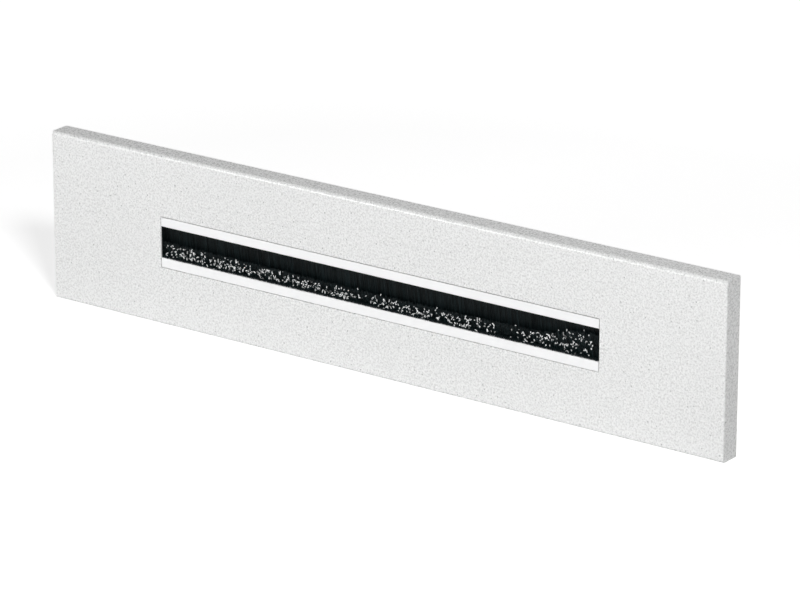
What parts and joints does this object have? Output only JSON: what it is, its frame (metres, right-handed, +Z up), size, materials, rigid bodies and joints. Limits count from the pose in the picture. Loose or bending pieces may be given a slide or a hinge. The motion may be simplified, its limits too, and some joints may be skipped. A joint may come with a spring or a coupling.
{
  "type": "brush cable entry panel",
  "caption": "Rectangular folded-sheet panel with a long horizontal slot closed by facing rows of soft bristles in carrier rails; cables pass through while dust and draughts stay out.",
  "frame": {"origin": "centre of the mounting studs' pattern and of the panel's outline, on the plane of the panel's rear rim", "axes": "+X along the panel's length, +Y out of its back along the mounting studs, +Z up; its front faces -Y"},
  "size_m": [0.45, 0.0265, 0.1],
  "materials": {
    "panel_coat": "light grey powder coat with a fine speckled texture",
    "plated_steel": "bright zinc plate",
    "white_plastic": "satin white extruded plastic",
    "strip_steel": "galvanised",
    "black_filament": "black nylon filament"
  },
  "bodies": {
    "root": {"panel": "panel_coat", "mounting_studs": "plated_steel", "carrier_studs": "plated_steel", "carrier_washers": "plated_steel", "carrier_nuts": "plated_steel", "upper_carrier": "white_plastic", "lower_carrier": "white_plastic", "upper_channel": "strip_steel", "lower_channel": "strip_steel", "upper_core_wire": "strip_steel", "lower_core_wire": "strip_steel", "upper_bristles": "black_filament", "lower_bristles": "black_filament"}
  },
  "joints": []
}
